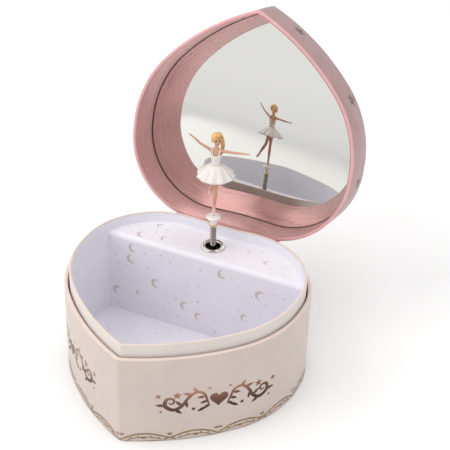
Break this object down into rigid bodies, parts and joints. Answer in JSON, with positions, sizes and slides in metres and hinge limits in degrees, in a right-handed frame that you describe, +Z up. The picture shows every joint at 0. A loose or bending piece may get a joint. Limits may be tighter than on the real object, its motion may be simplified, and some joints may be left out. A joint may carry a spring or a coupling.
{
  "type": "musical jewellery box",
  "caption": "Heart-shaped jewellery box with a hinged mirrored lid, a papered compartment and a turning ballerina on a spring stem over a comb movement.",
  "frame": {"origin": "middle of the heart's length and width on its underside", "axes": "+Z up, -Y towards the tip of the heart, +X to the right of a viewer facing the mirror; the lid hinges along X at the rear"},
  "size_m": [0.16, 0.2173, 0.2124],
  "materials": {
    "cream_paper": "smooth satin-coated paper over card",
    "grey_board": "plain grey-brown board",
    "lavender_paper": "matte lavender paper",
    "moon_paper": "matte lavender paper printed with pale gold moons and stars",
    "nickel": "polished nickel plate",
    "pink_paper": "pearly metallic pink paper",
    "cast_zinc": "die-cast, lightly textured",
    "brass": "satin brass",
    "spring_steel": "ground spring steel",
    "white_plastic": "glossy white plastic",
    "skin_plastic": "painted plastic",
    "white_satin": "white satin",
    "hair_plastic": "painted blonde",
    "pink_plastic": "painted pink",
    "mirror_glass": "silvered plastic mirror"
  },
  "bodies": {
    "box": {"outer_wall": "cream_paper", "base_board": "grey_board", "inner_sleeve": "cream_paper", "sleeve_lining": "lavender_paper", "floor_lining": "moon_paper", "platform_board": "grey_board", "platform_paper": "moon_paper", "deck_grommet": "nickel", "grommet_washer": "nickel", "hinge_strip": "pink_paper", "key_escutcheon": "nickel", "bedplate": "cast_zinc", "bedplate_screws": "brass", "front_bearing_plate": "brass", "rear_bearing_plate": "brass", "bearing_bridge": "brass", "governor_bracket": "brass", "music_comb": "spring_steel", "comb_screws": "brass"},
    "key": {"winding_arbor": "nickel", "winding_key": "nickel"},
    "barrel": {"barrel_drum": "brass", "barrel_cover": "brass", "mainspring": "spring_steel"},
    "cylinder": {"pin_cylinder": "brass", "cylinder_arbor": "nickel"},
    "governor_train": {"governor_wheel": "brass"},
    "fan": {"governor_worm": "nickel", "air_fan": "nickel"},
    "spindle": {"spindle_shaft": "nickel", "crown_wheel": "brass"},
    "stem": {"stem_spring": "nickel"},
    "dancer": {"stem_collar": "brass", "dancer_pedestal": "white_plastic", "dancer_body": "skin_plastic", "dancer_dress": "white_satin", "dancer_hair": "hair_plastic", "dancer_shoes": "pink_plastic"},
    "lid": {"lid_wall": "pink_paper", "lid_top": "pink_paper", "lid_lining": "pink_paper", "mirror": "mirror_glass", "mirror_backing": "grey_board"}
  },
  "joints": [
    {"name": "lid_hinge", "type": "hinge", "parent": "box", "child": "lid", "pos_m": [0, 0.07744, 0.064], "axis": [1, 0, 0], "range_deg": [0, 104], "deforming": ["hinge_strip"]},
    {"name": "dancer_fold", "type": "hinge", "parent": "box", "child": "stem", "pos_m": [0, 0.05455, 0.074], "axis": [1, 0, 0], "range_deg": [0, 100.5], "deforming": ["stem_spring"]},
    {"name": "dancer_spin", "type": "hinge", "parent": "stem", "child": "dancer", "pos_m": [0, 0.05455, 0.0822], "axis": [0, 0, 1], "continuous": true},
    {"name": "barrel_spin", "type": "hinge", "parent": "box", "child": "barrel", "pos_m": [0, 0.05455, 0.019], "axis": [0, 1, 0], "continuous": true},
    {"name": "spindle_spin", "type": "hinge", "parent": "box", "child": "spindle", "pos_m": [0, 0.05455, 0.034], "axis": [0, 0, 1], "continuous": true},
    {"name": "cylinder_spin", "type": "hinge", "parent": "box", "child": "cylinder", "pos_m": [0.0168, 0.05455, 0.019], "axis": [0, 1, 0], "continuous": true},
    {"name": "governor_wheel_spin", "type": "hinge", "parent": "box", "child": "governor_train", "pos_m": [-0.016, 0.05455, 0.019], "axis": [0, 1, 0], "continuous": true},
    {"name": "fan_spin", "type": "hinge", "parent": "box", "child": "fan", "pos_m": [-0.02355, 0.04455, 0.019], "axis": [0, 0, 1], "continuous": true},
    {"name": "key_wind", "type": "hinge", "parent": "box", "child": "key", "pos_m": [0, 0.07655, 0.019], "axis": [0, 1, 0], "continuous": true}
  ],
  "couplings": [
    {"joint": "dancer_fold", "follows": "lid_hinge", "ratio": 0.96154},
    {"joint": "dancer_spin", "follows": "barrel_spin", "ratio": -1.5},
    {"joint": "spindle_spin", "follows": "barrel_spin", "ratio": -1.5},
    {"joint": "cylinder_spin", "follows": "barrel_spin", "ratio": -2.5},
    {"joint": "governor_wheel_spin", "follows": "barrel_spin", "ratio": -3},
    {"joint": "fan_spin", "follows": "barrel_spin", "ratio": 72}
  ]
}
